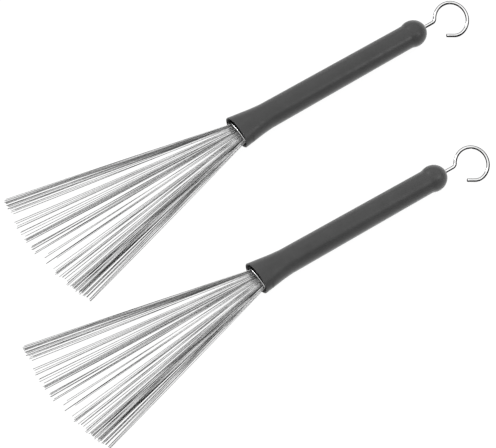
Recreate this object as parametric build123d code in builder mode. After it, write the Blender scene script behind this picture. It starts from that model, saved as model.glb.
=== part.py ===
from build123d import *
import math
import os

os.makedirs("parts", exist_ok=True)

# A pair of retractable wire drum brushes lying side by side, fans open.
# Each brush is modelled along X: mouth of the handle near X = 0, hook towards +X,
# fan towards -X, its axis at Z = 0. Both copies are then set down on Z = 0.

# lay of the pair
PAIR_DX = 52.7             # the left brush lies this far further towards -X
PAIR_DY = 97.2             # and this far towards -Y

# rubber grip
LIP_Y, LIP_Z = 11.6, 8.4   # half width and half height of the flattened lip
FLARE_X = 21.0             # the flare ends and the round grip begins
GRIP_R = 8.28              # grip radius at the flare
NECK_X, NECK_R = 125.2, 7.5
KNOB_X, KNOB_LEN, KNOB_R = 131.2, 9.0, 8.4
LIP_X, LIP_WALL = -1.0, 0.7
POCKET_X = 5.0             # the pocket around the metal rim ends here

# aluminium handle tube with a flattened bell mouth
TUBE_R, TUBE_WALL = 5.2, 0.5
RIM_Y, RIM_Z = 10.0, 3.6   # outer half width and half height of the bell mouth
RIM_X = -1.2               # the rim stands just proud of the lip
BELL_X = 16.0              # the bell blends into the round tube
TUBE_END = 130.2
GLUE = 0.02                # film between the rubber and the tube

# end bushing and bumper washer
BUSH_X = 124.2
BUSH_FLANGE = 2.0
BUMPER_T = 2.0

# pull rod bent into a hook
ROD_R = 1.05
ROD_FIT = 0.05
HOOK_R = 10.6              # centre-line radius of the hook
HOOK_X, HOOK_Q = 157.7, 3.9
BEND_R = 3.0               # small bend between rod and hook
HOOK_TURN = 80.0           # from this direction, seen from the hook centre, it curls tighter
CURL_R = 8.0
HOOK_END = 118.0           # the curl stops here and a short straight tail follows
TAIL = 5.0
HOOK_TILT = 29.5           # roll of the hook about the rod, its open side down

# ferrule that carries the wires
FERRULE_X, FERRULE_LEN, FERRULE_R = 18.8, 18.0, 4.35
SLOT_Y, SLOT_Z, SLOT_DEPTH = 7.6, 2.5, 12.0
SOCKET_R, SOCKET_DEPTH = 3.0, 4.0
DRAG_X = 33.6              # O-ring groove
DRAG_R = 0.52
CAP_PLUG, CAP_FLANGE = 1.4, 1.0
HEAD_R, HEAD_T = 2.6, 1.6

# wires
WIRE_D = 0.34
LAYERS, WIRES = 6, 18      # flat layers, wires in one layer
PITCH_Y, PITCH_Z = 0.42, 0.40
KINK_X = 15.6              # the wires fan out from here
KINK_R = 20.0
APEX_X, FAN_R = 29.0, 183.0
FAN_LOW, FAN_HIGH = -16.6, 12.6
LAYER_SPREAD = 2.0         # the layers open this much from ferrule to tips
STAGGER = (0.0, 0.5, 0.2, 0.7, 0.35, 0.85)


def section(x):
    return Plane.YZ.offset(x)


with BuildPart() as grip:
    for x, half_y, half_z in (
        (LIP_X, LIP_Y, LIP_Z), (7, 10.3, 8.36), (14, 9.1, 8.32), (FLARE_X, GRIP_R, GRIP_R)
    ):
        with BuildSketch(section(x)):
            Ellipse(half_y, half_z)
    loft()
    lip_edge = grip.edges().sort_by(Axis.X)[0]
    fillet(lip_edge, 0.3)
    with BuildSketch(Plane.XZ):
        with BuildLine():
            Polyline((FLARE_X, 0), (FLARE_X, GRIP_R), (NECK_X, NECK_R), (KNOB_X, NECK_R), (KNOB_X, 0), close=True)
        make_face()
    revolve(axis=Axis.X)
    with BuildSketch(Plane.XZ):
        with BuildLine():
            EllipticalCenterArc((KNOB_X, 0), KNOB_LEN, KNOB_R, start_angle=0, arc_size=180)
            Line((KNOB_X - KNOB_LEN, 0), (KNOB_X + KNOB_LEN, 0))
        make_face()
    revolve(axis=Axis.X)
    # pocket at the mouth, then the seat of the bell and of the tube
    with BuildSketch(section(LIP_X)):
        Ellipse(LIP_Y - LIP_WALL, LIP_Z - LIP_WALL)
    extrude(amount=POCKET_X - LIP_X, mode=Mode.SUBTRACT)
    with BuildSketch(section(POCKET_X)):
        Ellipse(RIM_Y + GLUE, RIM_Z + GLUE)
    with BuildSketch(section(BELL_X)):
        Circle(TUBE_R + GLUE)
    loft(ruled=True, mode=Mode.SUBTRACT)
    with BuildSketch(section(BELL_X)):
        Circle(TUBE_R + GLUE)
    extrude(amount=TUBE_END + BUSH_FLANGE - BELL_X, mode=Mode.SUBTRACT)
    with BuildSketch(section(TUBE_END)):
        Circle(ROD_R + 0.5)
    extrude(amount=KNOB_LEN * 2, mode=Mode.SUBTRACT)

with BuildPart() as tube:
    with BuildSketch(section(RIM_X)):
        Ellipse(RIM_Y, RIM_Z)
    extrude(amount=POCKET_X - RIM_X)
    with BuildSketch(section(POCKET_X)):
        Ellipse(RIM_Y, RIM_Z)
    with BuildSketch(section(BELL_X)):
        Circle(TUBE_R)
    loft(ruled=True)
    with BuildSketch(section(BELL_X)):
        Circle(TUBE_R)
    extrude(amount=TUBE_END - BELL_X)
    with BuildSketch(section(RIM_X)):
        Ellipse(RIM_Y - TUBE_WALL, RIM_Z - TUBE_WALL)
    extrude(amount=POCKET_X - RIM_X, mode=Mode.SUBTRACT)
    with BuildSketch(section(POCKET_X)):
        Ellipse(RIM_Y - TUBE_WALL, RIM_Z - TUBE_WALL)
    with BuildSketch(section(BELL_X)):
        Circle(TUBE_R - TUBE_WALL)
    loft(ruled=True, mode=Mode.SUBTRACT)
    with BuildSketch(section(BELL_X)):
        Circle(TUBE_R - TUBE_WALL)
    extrude(amount=TUBE_END - BELL_X, mode=Mode.SUBTRACT)

with BuildPart() as bushing:
    with BuildSketch(section(BUSH_X)):
        Circle(TUBE_R - TUBE_WALL - GLUE)
    extrude(amount=TUBE_END - BUSH_X)
    with BuildSketch(section(TUBE_END)):
        Circle(TUBE_R)
    extrude(amount=BUSH_FLANGE)
    with BuildSketch(section(BUSH_X)):
        Circle(ROD_R + ROD_FIT)
    extrude(amount=TUBE_END + BUSH_FLANGE - BUSH_X, mode=Mode.SUBTRACT)

with BuildPart() as bumper:
    with BuildSketch(section(BUSH_X - BUMPER_T)):
        Circle(TUBE_R - TUBE_WALL - GLUE)
        Circle(ROD_R + 0.4, mode=Mode.SUBTRACT)
    extrude(amount=BUMPER_T)

ferrule_end = FERRULE_X + FERRULE_LEN
with BuildPart() as ferrule:
    with BuildSketch(section(FERRULE_X)):
        Circle(FERRULE_R)
    extrude(amount=FERRULE_LEN)
    chamfer(ferrule.edges().sort_by(Axis.X)[0], 0.2)
    with BuildSketch(section(FERRULE_X)):
        RectangleRounded(SLOT_Y, SLOT_Z, 0.3)
    extrude(amount=SLOT_DEPTH, mode=Mode.SUBTRACT)
    with BuildSketch(section(ferrule_end - SOCKET_DEPTH)):
        Circle(SOCKET_R)
    extrude(amount=SOCKET_DEPTH, mode=Mode.SUBTRACT)
    with BuildSketch(Plane.XZ):
        with Locations((DRAG_X, FERRULE_R)):
            Rectangle(2 * DRAG_R + 0.1, 1.5)
    revolve(axis=Axis.X, mode=Mode.SUBTRACT)

groove_floor = FERRULE_R - 0.75
with BuildPart() as drag_ring:
    with BuildSketch(Plane.XZ):
        with Locations((DRAG_X, groove_floor + GLUE + DRAG_R)):
            Circle(DRAG_R)
    revolve(axis=Axis.X)

with BuildPart() as rear_cap:
    with BuildSketch(section(ferrule_end - CAP_PLUG)):
        Circle(SOCKET_R - GLUE)
    extrude(amount=CAP_PLUG)
    with BuildSketch(section(ferrule_end)):
        Circle(FERRULE_R)
    extrude(amount=CAP_FLANGE)
    with BuildSketch(section(ferrule_end - CAP_PLUG)):
        Circle(ROD_R + ROD_FIT)
    extrude(amount=CAP_PLUG + CAP_FLANGE, mode=Mode.SUBTRACT)

rod_start = ferrule_end - SOCKET_DEPTH + 0.5
with BuildPart() as rod_head:
    with BuildSketch(section(rod_start)):
        Circle(HEAD_R)
        Circle(ROD_R + GLUE, mode=Mode.SUBTRACT)
    extrude(amount=HEAD_T)

# the rod turns down through the small bend and runs on into the round hook
tilt = math.radians(HOOK_TILT)
hook_plane = Plane((0, 0, 0), x_dir=(1, 0, 0), z_dir=(0, math.sin(tilt), -math.cos(tilt)))
bend_reach = math.sqrt((HOOK_R + BEND_R) ** 2 - (HOOK_Q + BEND_R) ** 2)
bend_x = HOOK_X - bend_reach
meet = math.degrees(math.atan2(HOOK_Q + BEND_R, bend_reach))
turn_way = math.radians(HOOK_TURN)
curl_shift = HOOK_R - CURL_R
curl_centre = (HOOK_X + curl_shift * math.cos(turn_way), HOOK_Q + curl_shift * math.sin(turn_way))
end_way = math.radians(HOOK_END)
tail_start = (curl_centre[0] + CURL_R * math.cos(end_way), curl_centre[1] + CURL_R * math.sin(end_way))
tail_end = (tail_start[0] - TAIL * math.sin(end_way), tail_start[1] + TAIL * math.cos(end_way))
with BuildPart() as pull_hook:
    with BuildLine(hook_plane) as rod_path:
        Line((rod_start, 0), (bend_x, 0))
        CenterArc((bend_x, -BEND_R), BEND_R, 90, meet - 90)
        CenterArc((HOOK_X, HOOK_Q), HOOK_R, meet + 180, 180 + HOOK_TURN - meet)
        CenterArc(curl_centre, CURL_R, HOOK_TURN, HOOK_END - HOOK_TURN)
        Line(tail_start, tail_end)
    with BuildSketch(section(rod_start)):
        Circle(ROD_R)
    sweep(path=rod_path.wires()[0])

# wires: straight and parallel in the slot, one smooth kink, straight to the tips
wire_nodes = {}
for group in range(LAYERS // 2):
    with BuildPart() as wires:
        for layer in (2 * group, 2 * group + 1):
            z_slot = (layer - (LAYERS - 1) / 2) * PITCH_Z
            for i in range(WIRES):
                y_slot = (i - (WIRES - 1) / 2) * PITCH_Y
                turn = FAN_LOW + (FAN_HIGH - FAN_LOW) * (i + STAGGER[layer]) / (WIRES - 0.15)
                tip = Vector(
                    APEX_X - FAN_R * math.cos(math.radians(turn)),
                    FAN_R * math.sin(math.radians(turn)),
                    z_slot * LAYER_SPREAD,
                )
                kink = Vector(KINK_X, y_slot, z_slot)
                run = tip - kink
                bend = math.atan2(math.hypot(run.Y, run.Z), -run.X)
                across = Vector(0, run.Y, run.Z).normalized()
                lay = Plane(kink, x_dir=(-1, 0, 0), z_dir=Vector(-1, 0, 0).cross(across))
                back = FERRULE_X + SLOT_DEPTH - KINK_X
                with BuildLine(lay) as path:
                    FilletPolyline(
                        (-back, 0), (0, 0),
                        (run.length * math.cos(bend), run.length * math.sin(bend)),
                        radius=KINK_R,
                    )
                with BuildSketch(Plane(kink + Vector(back, 0, 0), z_dir=(-1, 0, 0))):
                    Circle(WIRE_D / 2)
                sweep(path=path.wires()[0])
    wire_nodes[("wires_lower", "wires_middle", "wires_upper")[group]] = wires.part

pieces = {
    "rubber_grip": grip.part,
    "handle_tube": tube.part,
    "end_bushing": bushing.part,
    "bumper_washer": bumper.part,
    "ferrule": ferrule.part,
    "drag_ring": drag_ring.part,
    "ferrule_cap": rear_cap.part,
    "rod_head": rod_head.part,
    "pull_hook": pull_hook.part,
}
pieces.update(wire_nodes)

# the pair is centred on the middle of its own box and stands on Z = 0
brush_box = Compound(children=[Compound(p.wrapped) for p in pieces.values()]).bounding_box(optimal=True)
mid_x = (brush_box.min.X + brush_box.max.X) / 2
mid_y = (brush_box.min.Y + brush_box.max.Y) / 2
for side, sign in (("right", 0.5), ("left", -0.5)):
    place = Location((sign * PAIR_DX - mid_x, sign * PAIR_DY - mid_y, KNOB_R))
    for name, piece in pieces.items():
        placed = piece.moved(place)
        placed.label = f"{side}_{name}"
        export_step(placed, f"parts/{side}_{name}.step")
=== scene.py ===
import math
import random

import bpy
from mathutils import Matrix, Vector


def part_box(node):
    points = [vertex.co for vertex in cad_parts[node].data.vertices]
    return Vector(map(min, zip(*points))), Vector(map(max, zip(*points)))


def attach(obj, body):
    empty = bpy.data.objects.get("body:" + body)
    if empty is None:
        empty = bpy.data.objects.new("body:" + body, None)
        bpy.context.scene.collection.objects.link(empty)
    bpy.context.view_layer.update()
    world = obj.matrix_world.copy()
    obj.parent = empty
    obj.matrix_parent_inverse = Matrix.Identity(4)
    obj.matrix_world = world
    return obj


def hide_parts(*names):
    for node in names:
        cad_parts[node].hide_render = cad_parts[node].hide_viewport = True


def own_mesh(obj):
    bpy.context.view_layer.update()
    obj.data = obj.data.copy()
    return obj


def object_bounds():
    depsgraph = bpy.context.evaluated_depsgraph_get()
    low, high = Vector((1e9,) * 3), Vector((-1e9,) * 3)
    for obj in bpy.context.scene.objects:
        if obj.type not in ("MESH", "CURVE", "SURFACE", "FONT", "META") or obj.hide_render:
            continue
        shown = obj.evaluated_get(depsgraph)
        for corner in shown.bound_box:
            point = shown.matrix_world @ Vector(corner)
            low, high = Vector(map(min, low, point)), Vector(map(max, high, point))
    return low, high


def grey(v):
    return (v, v, v)


# A pair of retractable wire drum brushes. The CAD frame gives the places; the sizes
# below repeat the driving dimensions of the parts that get a finer mesh here.
MM = 0.001
SIDES = ("right", "left")
SQUARE = ((-1, -1), (1, -1), (1, 1), (-1, 1))

# rubber grip, from its mouth to the knob
LIP_X = -1.0
GRIP_SECTIONS = ((LIP_X, 11.6, 8.4), (7.0, 10.3, 8.36), (14.0, 9.1, 8.32), (21.0, 8.28, 8.28))
NECK_X, NECK_R = 125.2, 7.5
KNOB_X, KNOB_LEN, KNOB_R = 131.2, 9.0, 8.4
LIP_WALL, LIP_ROUND = 0.7, 0.3
POCKET_X = 5.0
NECK_SOFT = 0.25          # rounds the crease between neck and knob
BORE_END = 132.2
ROD_HOLE_R = 1.55
LIP_STEPS, NECK_STEPS, KNOB_STEPS, INNER_LIP_STEPS = 6, 24, 20, 4

# aluminium tube with its bell mouth
RIM_Y, RIM_Z, RIM_X = 10.0, 3.6, -1.2
TUBE_R, TUBE_WALL, TUBE_END = 5.2, 0.5, 130.2
BELL_X = 16.0
BEAD = 0.2                # the rim is rolled out by this much
RIM_STEPS = 10

# pull rod and hook
ROD_R = 1.05
ROD_START = 33.3
HOOK_R, HOOK_X, HOOK_Q = 10.6, 157.7, 3.9
BEND_R = 3.0
HOOK_TURN, CURL_R = 80.0, 8.0
HOOK_END, TAIL = 118.0, 5.0
HOOK_TILT = 29.5
CUT_ROUND = 0.2           # at the hook's blunt cut end
ROD_STEPS, BEND_STEPS, HOOK_STEPS, CURL_STEPS, TAIL_STEPS = 12, 16, 65, 10, 4

# wires
FERRULE_X, SLOT_DEPTH = 18.8, 12.0
WIRE_R = 0.17
LAYERS, COLUMNS = 6, 18
GROUPS = ("lower", "middle", "upper")
PITCH_Y, PITCH_Z = 0.42, 0.40
KINK_X, KINK_LEN = 15.6, 6.0
APEX_X, FAN_R = 29.0, 183.0
LAYER_SPREAD = 2.0
KINK_STEPS, RUN_STEPS = 6, 12
# how far single wires stray at random: the tip along the wire, the middle sideways and up,
# and in degrees, the angle at the tip and how far out of turn a wire leaves the slot
TIP_STRAY = (-0.8, 0.3)
BOW, LIFT = 0.5, 0.3
TURN_STRAY, CROSSING = 0.1, 3.2
SEED = 8
# tone of the wires in bands that run along the fan, and a painted highlight that brightens them
# from the tips to the slot
BANDS_PER_RADIAN, BANDS_PER_METRE = 52.0, 10.0
BAND_TONES = ((0.34, grey(0.08)), (0.44, grey(0.5)), (0.56, grey(0.95)), (0.7, grey(1.0)))
PAINTED_HIGHLIGHT_ALONG = (
    (0.0, grey(0.47)), (0.2, grey(0.44)), (0.5, grey(0.46)), (0.8, grey(0.74)), (1.0, grey(1.0)),
)
# how the wires gather into bunches: start and end angle from the axis in degrees,
# their number, and how much shorter than the longest they are
BUNCHES = (
    (-16.8, -16.3, 4, 0.3), (-16.1, -15.5, 6, 0.6), (-15.2, -14.9, 2, 0.8), (-14.7, -13.6, 11, 0.3),
    (-13.2, -11.7, 14, 0.0), (-10.95, -10.6, 4, 0.2), (-10.1, -9.9, 1, 0.6), (-9.6, -9.2, 3, 0.3),
    (-8.5, -8.2, 2, 0.8), (-7.8, -7.3, 5, 0.2), (-6.9, -6.7, 1, 0.6), (-5.3, -5.1, 1, 7.0),
    (-4.7, -4.5, 2, 0.4), (-3.9, -3.7, 1, 1.0), (-2.9, -2.7, 1, 6.5), (-1.4, -1.1, 3, 0.2),
    (-0.5, 0.3, 7, 0.3), (1.5, 2.4, 8, 0.3), (3.0, 3.2, 1, 1.5), (3.8, 4.1, 3, 0.4),
    (5.5, 5.8, 3, 0.9), (6.8, 7.1, 2, 1.6), (8.3, 8.5, 1, 2.4), (9.2, 9.4, 1, 5.0),
    (9.7, 10.1, 3, 3.0), (10.3, 11.6, 11, 2.2), (11.8, 12.6, 8, 2.4),
)

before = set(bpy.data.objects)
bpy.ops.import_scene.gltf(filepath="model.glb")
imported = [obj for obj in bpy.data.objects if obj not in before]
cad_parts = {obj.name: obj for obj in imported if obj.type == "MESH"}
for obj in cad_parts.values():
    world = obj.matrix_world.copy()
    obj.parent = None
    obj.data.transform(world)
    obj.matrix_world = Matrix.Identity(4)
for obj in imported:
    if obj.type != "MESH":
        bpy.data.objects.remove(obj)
cad_box = [list(corner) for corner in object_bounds()]


# ---------------------------------------------------------------- mesh helpers

def origin_of(side):
    """The point on a brush's axis that the sizes above count from, in metres."""
    low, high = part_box(f"{side}_rubber_grip")
    return Vector((low[0] - LIP_X * MM, (low[1] + high[1]) / 2, (low[2] + high[2]) / 2))


def make_object(name, points, faces, material, body, slot):
    mesh = bpy.data.meshes.new(name)
    mesh.from_pydata(points, [], faces)
    mesh.update()
    mesh.polygons.foreach_set("use_smooth", [True] * len(mesh.polygons))
    obj = bpy.data.objects.new(name, mesh)
    bpy.context.scene.collection.objects.link(obj)
    mesh.materials.append(material)
    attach(obj, body)
    return obj


def sharpen(obj, degrees=50):
    """Edges that turn more than this are drawn sharp."""
    obj.data.set_sharp_from_angle(angle=math.radians(degrees))


def between_rings(first, second, around):
    """Faces that join two rings, given the number of each ring's first point."""
    pairs = [(k, (k + 1) % around) for k in range(around)]
    return [(first + k, first + n, second + n, second + k) for k, n in pairs]


def ring_loop(stations, origin, around):
    """Closed skin through oval rings given as (x, half width, half height) in mm."""
    points, faces = [], []
    for x, half_y, half_z in stations:
        for k in range(around):
            a = 2 * math.pi * k / around
            local = Vector((x, half_y * math.cos(a), half_z * math.sin(a)))
            points.append(origin + local * MM)
    count = len(stations)
    for i in range(count):
        faces += between_rings(i * around, (i + 1) % count * around, around)
    return points, faces


def tube_along(path, radius, around, end_round=0.0):
    """Points and faces of a round bar along a path, with an optional rounded rim at its end."""
    rings = [(p, radius) for p in path]
    if end_round:
        last = path[-1]
        out = (last - path[-2]).normalized()
        rings[-1] = (last - out * end_round, radius)
        rings.append((last - out * end_round * 0.3, radius - end_round * 0.3))
        rings.append((last, radius - end_round))
    points, faces = [], []
    side = (rings[1][0] - rings[0][0]).normalized().orthogonal().normalized()
    for i, (centre, r) in enumerate(rings):
        ahead = rings[min(i + 1, len(rings) - 1)][0]
        behind = rings[max(i - 1, 0)][0]
        tangent = (ahead - behind).normalized()
        side = (side - tangent * side.dot(tangent)).normalized()
        up = tangent.cross(side)
        for k in range(around):
            a = 2 * math.pi * k / around
            points.append(centre + (side * math.cos(a) + up * math.sin(a)) * r)
    for i in range(len(rings) - 1):
        faces += between_rings(i * around, (i + 1) * around, around)
    faces.append(tuple(reversed(range(around))))
    faces.append(tuple((len(rings) - 1) * around + k for k in range(around)))
    return points, faces


# ---------------------------------------------------------------- materials

def new_material(name, **values):
    """A Principled material; plain values go straight on the shader's sockets."""
    mat = bpy.data.materials.new(name)
    mat.use_nodes = True
    shader = mat.node_tree.nodes["Principled BSDF"]
    for socket, value in values.items():
        shader.inputs[socket.replace("_", " ")].default_value = value
    return mat, mat.node_tree, shader


def noise(tree, scale, detail=4.0, stretch=(1, 1, 1)):
    """Noise over the object's own frame; scale is in features per metre."""
    where = tree.nodes.new("ShaderNodeTexCoord")
    mapping = tree.nodes.new("ShaderNodeMapping")
    mapping.inputs["Scale"].default_value = stretch
    tree.links.new(where.outputs["Object"], mapping.inputs["Vector"])
    tex = tree.nodes.new("ShaderNodeTexNoise")
    tex.inputs["Scale"].default_value = scale
    tex.inputs["Detail"].default_value = detail
    tree.links.new(mapping.outputs["Vector"], tex.inputs["Vector"])
    return tex.outputs["Fac"]


def ramp(tree, fac, stops):
    node = tree.nodes.new("ShaderNodeValToRGB")
    ends = node.color_ramp.elements
    while len(ends) < len(stops):
        ends.new(0.5)
    for element, (at, colour) in zip(ends, stops):
        element.position = at
        element.color = (*colour, 1)
    tree.links.new(fac, node.inputs["Fac"])
    return node.outputs["Color"]


def bump(tree, shader, height, distance, strength):
    node = tree.nodes.new("ShaderNodeBump")
    node.inputs["Distance"].default_value = distance
    node.inputs["Strength"].default_value = strength
    tree.links.new(height, node.inputs["Height"])
    tree.links.new(node.outputs["Normal"], shader.inputs["Normal"])


def rubber(name, dark, light, roughness):
    mat, tree, shader = new_material(
        name, Specular_IOR_Level=0.4, Sheen_Weight=0.7, Sheen_Roughness=0.5,
    )
    broad = noise(tree, scale=90, detail=5)
    tree.links.new(
        ramp(tree, broad, ((0.3, dark), (0.75, light))), shader.inputs["Base Color"]
    )
    gloss = ((0.3, grey(roughness - 0.06)), (0.7, grey(roughness + 0.08)))
    tree.links.new(
        ramp(tree, noise(tree, scale=260, detail=6), gloss), shader.inputs["Roughness"]
    )
    bump(tree, shader, noise(tree, scale=3500, detail=3), distance=0.00002, strength=0.35)
    return mat


def metal(name, dark, light, roughness, spread, stretch=(1, 1, 1), scale=400):
    mat, tree, shader = new_material(name, Metallic=1.0)
    streaks = noise(tree, scale, detail=5, stretch=stretch)
    tree.links.new(
        ramp(tree, streaks, ((0.3, dark), (0.7, light))), shader.inputs["Base Color"]
    )
    tree.links.new(
        ramp(tree, streaks, ((0.25, grey(roughness)), (0.75, grey(roughness + spread)))),
        shader.inputs["Roughness"],
    )
    grain = noise(tree, scale=2500, detail=3, stretch=stretch)
    bump(tree, shader, grain, distance=0.00001, strength=0.2)
    return mat


grip_rubber = rubber("grip_rubber_look", grey(0.021), grey(0.03), roughness=0.4)
soft_rubber = rubber("soft_rubber_look", grey(0.02), grey(0.028), roughness=0.6)
chrome = metal(
    "hook_chrome_look", grey(0.84), grey(0.9), roughness=0.03, spread=0.04, scale=120,
)
tube_metal = metal(
    "tube_metal_look", grey(0.80), grey(0.9), roughness=0.12, spread=0.1, stretch=(0.15, 1, 1),
)
turned_steel = metal(
    "turned_steel_look", grey(0.45), grey(0.6), roughness=0.25, spread=0.15, stretch=(8, 1, 1),
)
nylon, nylon_tree, nylon_shader = new_material("nylon_look", Roughness=0.5)
nylon_mottle = noise(nylon_tree, scale=200)
nylon_tree.links.new(
    ramp(nylon_tree, nylon_mottle, ((0.3, grey(0.5)), (0.7, grey(0.6)))),
    nylon_shader.inputs["Base Color"],
)
nylon_grain = noise(nylon_tree, scale=1500, detail=3)
bump(nylon_tree, nylon_shader, nylon_grain, distance=0.00002, strength=0.3)


def wire_look():
    """Drawn steel wire, light and dark in bands that run along the fan, with a painted highlight
    that is brightest at the slot and fades towards the tips.
    """
    mat, tree, shader = new_material("wire_steel_look", Metallic=0.8)
    lay = tree.nodes.new("ShaderNodeUVMap")
    lay.uv_map = "lay"
    place = tree.nodes.new("ShaderNodeMapping")
    place.inputs["Scale"].default_value = (BANDS_PER_RADIAN, BANDS_PER_METRE, 1)
    tree.links.new(lay.outputs["UV"], place.inputs["Vector"])
    band = tree.nodes.new("ShaderNodeTexNoise")
    band.inputs["Scale"].default_value = 1.0
    band.inputs["Detail"].default_value = 0.6
    tree.links.new(place.outputs["Vector"], band.inputs["Vector"])
    split = tree.nodes.new("ShaderNodeSeparateXYZ")
    tree.links.new(lay.outputs["UV"], split.inputs["Vector"])
    reach = tree.nodes.new("ShaderNodeMapRange")
    reach.inputs["From Min"].default_value = FAN_R * MM
    reach.inputs["From Max"].default_value = APEX_X * MM
    tree.links.new(split.outputs["Y"], reach.inputs["Value"])
    both = tree.nodes.new("ShaderNodeMix")
    both.data_type = "RGBA"
    both.blend_type = "MULTIPLY"
    both.inputs["Factor"].default_value = 1.0
    tree.links.new(ramp(tree, band.outputs["Fac"], BAND_TONES), both.inputs["A"])
    # painted highlight: the wires' colour lighter towards the slot, darker towards the tips
    tree.links.new(ramp(tree, reach.outputs["Result"], PAINTED_HIGHLIGHT_ALONG), both.inputs["B"])
    tree.links.new(both.outputs["Result"], shader.inputs["Base Color"])
    tree.links.new(
        ramp(tree, noise(tree, scale=300, detail=3), ((0.3, grey(0.3)), (0.7, grey(0.38)))),
        shader.inputs["Roughness"],
    )
    facing = tree.nodes.new("ShaderNodeAttribute")
    facing.attribute_name = "facing"
    tree.links.new(facing.outputs["Vector"], shader.inputs["Normal"])
    return mat


wire_steel = wire_look()


# ---------------------------------------------------------------- grip and tube

def flare_size(x, axis):
    """Half width (1) or half height (2) of the flare at x, smooth through its sections."""
    i = 0
    while i < len(GRIP_SECTIONS) - 2 and x > GRIP_SECTIONS[i + 1][0]:
        i += 1
    (x0, v0), (x1, v1) = ((GRIP_SECTIONS[k][0], GRIP_SECTIONS[k][axis]) for k in (i, i + 1))
    slopes = []
    for k in (i, i + 1):
        before = GRIP_SECTIONS[max(k - 1, 0)]
        after = GRIP_SECTIONS[min(k + 1, len(GRIP_SECTIONS) - 1)]
        slopes.append((after[axis] - before[axis]) / (after[0] - before[0]))
    span = x1 - x0
    t = (x - x0) / span
    rest = 1 - t
    return (
        v0 * (1 + 2 * t) * rest * rest + slopes[0] * span * t * rest * rest
        + v1 * t * t * (3 - 2 * t) - slopes[1] * span * t * t * rest
    )


def grip_outside(x):
    """Half width and half height of the grip at x."""
    flare_x, grip_r = GRIP_SECTIONS[-1][:2]
    if x < flare_x:
        return [flare_size(x, 1), flare_size(x, 2)]
    share = min((x - flare_x) / (NECK_X - flare_x), 1.0)
    cone = grip_r + (NECK_R - grip_r) * share
    along = (x - KNOB_X) / KNOB_LEN
    ball = KNOB_R * math.sqrt(max(0.0, 1 - along * along))
    if x > KNOB_X:
        return [ball, ball]
    gap = cone - ball
    blended = (cone + ball + math.sqrt(gap * gap + NECK_SOFT * NECK_SOFT)) / 2
    r = blended if x > NECK_X - 2 else cone
    return [r, r]


def grip_stations():
    """The grip's section as one closed run: outside, rod hole, bore, bell seat, pocket, lip."""
    run = []
    lip_y, lip_z = GRIP_SECTIONS[0][1:]
    for i in range(LIP_STEPS + 1):
        a = math.pi / 2 * i / LIP_STEPS
        inset = LIP_ROUND * (1 - math.sin(a))
        x = LIP_X + LIP_ROUND * (1 - math.cos(a))
        half_y, half_z = grip_outside(x)
        run.append((x, half_y - inset, half_z - inset))
    # every millimetre along the flare, every four along the cone, closer again at the knob
    run += [(x, *grip_outside(x)) for x in range(30)]
    bulge_x = NECK_X - 3.0
    run += [(x, *grip_outside(x)) for x in range(32, int(bulge_x), 4)]
    for i in range(NECK_STEPS + 1):
        x = bulge_x + (KNOB_X - bulge_x) * i / NECK_STEPS
        run.append((x, *grip_outside(x)))
    hole_at = math.acos(ROD_HOLE_R / KNOB_R)
    for i in range(1, KNOB_STEPS + 1):
        a = hole_at * i / KNOB_STEPS
        x = KNOB_X + KNOB_LEN * math.sin(a)
        run.append((x, KNOB_R * math.cos(a), KNOB_R * math.cos(a)))
    run += [(BORE_END + 2, ROD_HOLE_R, ROD_HOLE_R), (BORE_END, ROD_HOLE_R, ROD_HOLE_R)]
    run += [(BORE_END, TUBE_R, TUBE_R), (BELL_X, TUBE_R, TUBE_R)]
    run += [(POCKET_X, RIM_Y, RIM_Z)]
    inner_y, inner_z = lip_y - LIP_WALL, lip_z - LIP_WALL
    run += [(POCKET_X, inner_y, inner_z), (LIP_X + 1, inner_y, inner_z)]
    for i in range(INNER_LIP_STEPS + 1):
        a = math.pi / 2 * i / INNER_LIP_STEPS
        inset = LIP_ROUND * (1 - math.cos(a))
        run.append((LIP_X + LIP_ROUND * (1 - math.sin(a)), inner_y + inset, inner_z + inset))
    return run


def tube_stations():
    """The tube's section: rolled rim, bell and round tube outside, then back inside."""
    run = []
    middle_y, middle_z = RIM_Y - TUBE_WALL / 2, RIM_Z - TUBE_WALL / 2
    half = TUBE_WALL / 2 + BEAD
    for i in range(RIM_STEPS + 1):
        a = math.pi * (i / RIM_STEPS)
        reach = half * math.cos(math.pi - a)
        run.append((RIM_X + half - half * math.sin(a), middle_y + reach, middle_z + reach))
    run += [(RIM_X + 1, RIM_Y, RIM_Z), (POCKET_X, RIM_Y, RIM_Z)]
    run += [(BELL_X, TUBE_R, TUBE_R), (TUBE_END, TUBE_R, TUBE_R)]
    inner = TUBE_R - TUBE_WALL
    run += [(TUBE_END, inner, inner), (BELL_X, inner, inner)]
    thin_y, thin_z = RIM_Y - TUBE_WALL, RIM_Z - TUBE_WALL
    run += [(POCKET_X, thin_y, thin_z), (RIM_X + 1, thin_y, thin_z)]
    return run


for side in SIDES:
    origin = origin_of(side)
    grip = make_object(
        f"{side}_grip_skin", *ring_loop(grip_stations(), origin, around=128),
        grip_rubber, f"{side}_handle", "grip_rubber",
    )
    sharpen(grip)
    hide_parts(f"{side}_rubber_grip")
    tube = make_object(
        f"{side}_belled_tube", *ring_loop(tube_stations(), origin, around=96),
        tube_metal, f"{side}_handle", "tube_metal",
    )
    sharpen(tube)
    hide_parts(f"{side}_handle_tube")


# ---------------------------------------------------------------- pull rod and hook

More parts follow.
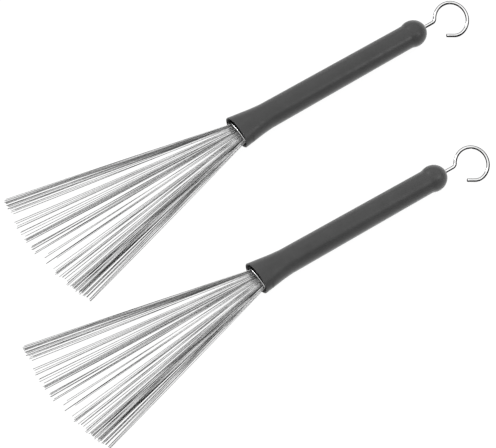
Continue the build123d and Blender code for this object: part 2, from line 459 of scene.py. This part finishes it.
def hook_path(origin):
    """Centre line of the rod and its round hook, rolled about the rod."""
    tilt = math.radians(HOOK_TILT)
    down = Vector((0, -math.cos(tilt), -math.sin(tilt)))
    reach = math.sqrt((HOOK_R + BEND_R) ** 2 - (HOOK_Q + BEND_R) ** 2)
    bend_x = HOOK_X - reach
    meet = math.atan2(HOOK_Q + BEND_R, reach)
    flat = [(ROD_START + (bend_x - ROD_START) * i / ROD_STEPS, 0.0) for i in range(ROD_STEPS)]
    for i in range(BEND_STEPS):
        a = math.pi / 2 + (meet - math.pi / 2) * i / BEND_STEPS
        flat.append((bend_x + BEND_R * math.cos(a), -BEND_R + BEND_R * math.sin(a)))
    start, turn = meet + math.pi, math.radians(HOOK_TURN) + 2 * math.pi
    for i in range(HOOK_STEPS):
        a = start + (turn - start) * i / HOOK_STEPS
        flat.append((HOOK_X + HOOK_R * math.cos(a), HOOK_Q + HOOK_R * math.sin(a)))
    curl_x = HOOK_X + (HOOK_R - CURL_R) * math.cos(turn)
    curl_q = HOOK_Q + (HOOK_R - CURL_R) * math.sin(turn)
    stop = math.radians(HOOK_END) + 2 * math.pi
    for i in range(CURL_STEPS + 1):
        a = turn + (stop - turn) * i / CURL_STEPS
        flat.append((curl_x + CURL_R * math.cos(a), curl_q + CURL_R * math.sin(a)))
    end_x, end_q = flat[-1]
    for i in range(1, TAIL_STEPS + 1):
        run = TAIL * i / TAIL_STEPS
        flat.append((end_x - run * math.sin(stop), end_q + run * math.cos(stop)))
    return [origin + (Vector((x, 0, 0)) + down * q) * MM for x, q in flat]


for side in SIDES:
    rod = tube_along(
        hook_path(origin_of(side)), ROD_R * MM, around=32, end_round=CUT_ROUND * MM,
    )
    hook = make_object(f"{side}_hook_wire", *rod, chrome, f"{side}_pull_rod", "hook_chrome")
    sharpen(hook, 40)
    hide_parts(f"{side}_pull_hook")


# ---------------------------------------------------------------- wires

def wire_turns(rng):
    """Angle and shortness of every wire, roughly from the low side of the fan to the high side."""
    turns = []
    for low, high, count, shorter in BUNCHES:
        for i in range(count):
            even = low + (high - low) * (i + 0.5) / count
            turns.append((even + rng.uniform(-TURN_STRAY, TURN_STRAY), shorter))
    return sorted(turns, key=lambda wire: wire[0] + rng.uniform(-CROSSING, CROSSING))


def wire_path(origin, column, layer, turn, shorter, rng):
    """Straight in the slot, a soft kink in front of the ferrule, then out to the tip."""
    y_slot = (column - (COLUMNS - 1) / 2) * PITCH_Y
    z_slot = (layer - (LAYERS - 1) / 2) * PITCH_Z
    reach = FAN_R - shorter + rng.uniform(*TIP_STRAY)
    a = math.radians(turn)
    tip = Vector((APEX_X - reach * math.cos(a), reach * math.sin(a), z_slot * LAYER_SPREAD))
    kink = Vector((KINK_X, y_slot, z_slot))
    bow = rng.uniform(-BOW, BOW)
    lift = rng.uniform(-LIFT, LIFT)
    path = [Vector((FERRULE_X + SLOT_DEPTH, y_slot, z_slot)), Vector((FERRULE_X, y_slot, z_slot))]
    before = kink + Vector((KINK_LEN / 2, 0, 0))
    after = kink + (tip - kink).normalized() * (KINK_LEN / 2)
    for i in range(KINK_STEPS + 1):
        t = i / KINK_STEPS
        path.append(before * (1 - t) ** 2 + kink * 2 * t * (1 - t) + after * t * t)
    for i in range(1, RUN_STEPS + 1):
        t = i / RUN_STEPS
        swell = math.sin(math.pi * t)
        path.append(after.lerp(tip, t) + Vector((0, bow * swell, lift * swell)))
    return [origin + p * MM for p in path]


def map_lay(obj, apex):
    """What the wires' look reads, stored at rest so that it stays with them as they gather."""
    # the angle about the apex across, the distance from it along
    layer = obj.data.uv_layers.new(name="lay")
    for loop in obj.data.loops:
        place = obj.data.vertices[loop.vertex_index].co - apex
        layer.data[loop.index].uv = (math.atan2(place.y, -place.x), -place.x)
    # the directions of the round wires' sides
    facing = obj.data.attributes.new("facing", "FLOAT_VECTOR", "CORNER")
    for item, normal in zip(facing.data, obj.data.corner_normals):
        item.vector = normal.vector


for side in SIDES:
    origin = origin_of(side)
    rng = random.Random(SEED)
    groups = {group: ([], []) for group in GROUPS}
    for number, (turn, shorter) in enumerate(wire_turns(rng)):
        column, layer = divmod(number, LAYERS)
        # the bunches have one wire more than the slot has places: the last one shares a place
        column = min(column, COLUMNS - 1)
        path = wire_path(origin, column, layer, turn, shorter, rng)
        points, faces = groups[GROUPS[layer * len(GROUPS) // LAYERS]]
        start = len(points)
        wire_points, wire_faces = tube_along(path, WIRE_R * MM, around=8)
        points += wire_points
        faces += [tuple(start + v for v in f) for f in wire_faces]
    for group, (points, faces) in groups.items():
        wires = make_object(
            f"{side}_fan_{group}", points, faces, wire_steel, f"{side}_wire_carrier", "wire_steel",
        )
        sharpen(wires)
        map_lay(wires, origin + Vector((APEX_X, 0, 0)) * MM)
        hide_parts(f"{side}_wires_{group}")
        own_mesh(wires)


# ---------------------------------------------------------------- carried-over CAD nodes

INNER_LOOKS = {
    "end_bushing": nylon, "bumper_washer": soft_rubber, "ferrule": turned_steel,
    "drag_ring": soft_rubber, "ferrule_cap": turned_steel, "rod_head": turned_steel,
}
for side in SIDES:
    for part, look in INNER_LOOKS.items():
        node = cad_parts[f"{side}_{part}"]
        node.data.materials.clear()
        node.data.materials.append(look)


# ---------------------------------------------------------------- floor, light, camera

FLOOR_GLOW = 0.93
FLOOR_HALF = 6.0


def flat_square(name, centre, half_side, half_reach, look):
    """A flat four-cornered piece of the set, given its centre and two half edges."""
    mesh = bpy.data.meshes.new(name)
    corners = [centre + i * half_side + j * half_reach for i, j in SQUARE]
    mesh.from_pydata(corners, [], [(0, 1, 2, 3)])
    mesh.materials.append(look)
    obj = bpy.data.objects.new(name, mesh)
    bpy.context.scene.collection.objects.link(obj)
    return obj


floor_look, floor_tree, floor_shader = new_material(
    "pale_floor", Base_Color=(*grey(0.13), 1), Roughness=1.0, Specular_IOR_Level=0.0,
    Emission_Color=(*grey(1), 1), Emission_Strength=FLOOR_GLOW,
)
# polished metal sees a darker floor, as it does over a table top beside black cards
paths = floor_tree.nodes.new("ShaderNodeLightPath")
dark = floor_tree.nodes.new("ShaderNodeEmission")
dark.inputs["Color"].default_value = (*grey(0.01), 1)
mix = floor_tree.nodes.new("ShaderNodeMixShader")
floor_tree.links.new(paths.outputs["Is Glossy Ray"], mix.inputs["Fac"])
floor_tree.links.new(floor_shader.outputs["BSDF"], mix.inputs[1])
floor_tree.links.new(dark.outputs["Emission"], mix.inputs[2])
floor_tree.links.new(mix.outputs["Shader"], floor_tree.nodes["Material Output"].inputs["Surface"])
floor = flat_square(
    "floor", Vector((0, 0, 0)), Vector((FLOOR_HALF, 0, 0)), Vector((0, FLOOR_HALF, 0)), floor_look,
)

# a bright ceiling above dark walls
SKY = ((0.0, grey(0.01)), (0.52, grey(0.015)), (0.66, grey(1.2)), (1.0, grey(1.2)))
world = bpy.data.worlds.new("studio")
world.use_nodes = True
sky = world.node_tree
direction = sky.nodes.new("ShaderNodeTexCoord")
height = sky.nodes.new("ShaderNodeSeparateXYZ")
sky.links.new(direction.outputs["Generated"], height.inputs["Vector"])
sky.links.new(ramp(sky, height.outputs["Z"], SKY), sky.nodes["Background"].inputs["Color"])
bpy.context.scene.world = world


def softbox(name, target, place, size, power):
    """A square area light that faces its target from a place relative to it."""
    light = bpy.data.lights.new(name, "AREA")
    light.size = size
    light.energy = power
    lamp = bpy.data.objects.new(name, light)
    lamp.location = target + Vector(place)
    lamp.rotation_mode = "QUATERNION"
    lamp.rotation_quaternion = (target - lamp.location).to_track_quat("-Z", "Y")
    bpy.context.scene.collection.objects.link(lamp)
    return lamp


middle = (Vector(cad_box[0]) + Vector(cad_box[1])) / 2
hook_ends = [Vector(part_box(f"{side}_pull_hook")[1]) for side in SIDES]
hooks = (hook_ends[0] + hook_ends[1]) / 2
softbox("back_light", middle, place=(-0.3, 0.6, 0.74), size=0.35, power=2.5)
fill = softbox("front_fill", middle, place=(0.26, -0.93, 0.71), size=0.4, power=4.5)
fill.visible_glossy = False
# a small lamp for the soft highlight on the rubber knobs only
knob_lamp = softbox("knob_lamp", hooks, place=(0.21, -0.35, 0.29), size=0.08, power=0.42)
rubber_pieces = bpy.data.collections.new("rubber_pieces")
for side in SIDES:
    rubber_pieces.objects.link(bpy.data.objects[f"{side}_grip_skin"])
knob_lamp.light_linking.receiver_collection = rubber_pieces

# a dark card above the hooks, which only polished metal sees
card_look = new_material(
    "dark_card_look", Base_Color=(*grey(0), 1), Roughness=1.0, Specular_IOR_Level=0.0,
)[0]
dark_card = flat_square(
    "dark_card", hooks + Vector((0.20, -0.32, 0.33)),
    Vector((0.07, 0, 0)), Vector((0, 0.10, 0.097)), card_look,
)
dark_card.visible_camera = dark_card.visible_diffuse = dark_card.visible_shadow = False

AZIMUTH, ELEVATION = math.radians(-34.7), math.radians(54.5)
LENS, SENSOR = 1400.0, 36.0
VIEW_WIDTH = 304.0
DISTANCE = VIEW_WIDTH * MM * LENS / SENSOR
AIM = Vector((-15.8, -5.9, 8.4)) * MM
back = Vector((
    math.sin(AZIMUTH) * math.cos(ELEVATION),
    -math.cos(AZIMUTH) * math.cos(ELEVATION),
    math.sin(ELEVATION),
))
camera_data = bpy.data.cameras.new("camera")
camera_data.lens = LENS
camera_data.sensor_width = SENSOR
camera_data.clip_start, camera_data.clip_end = 0.1, 50
camera = bpy.data.objects.new("camera", camera_data)
camera.location = AIM + back * DISTANCE
camera.rotation_mode = "QUATERNION"
camera.rotation_quaternion = (-back).to_track_quat("-Z", "Y")
bpy.context.scene.collection.objects.link(camera)
bpy.context.scene.camera = camera
bpy.context.scene.view_settings.view_transform = "Standard"
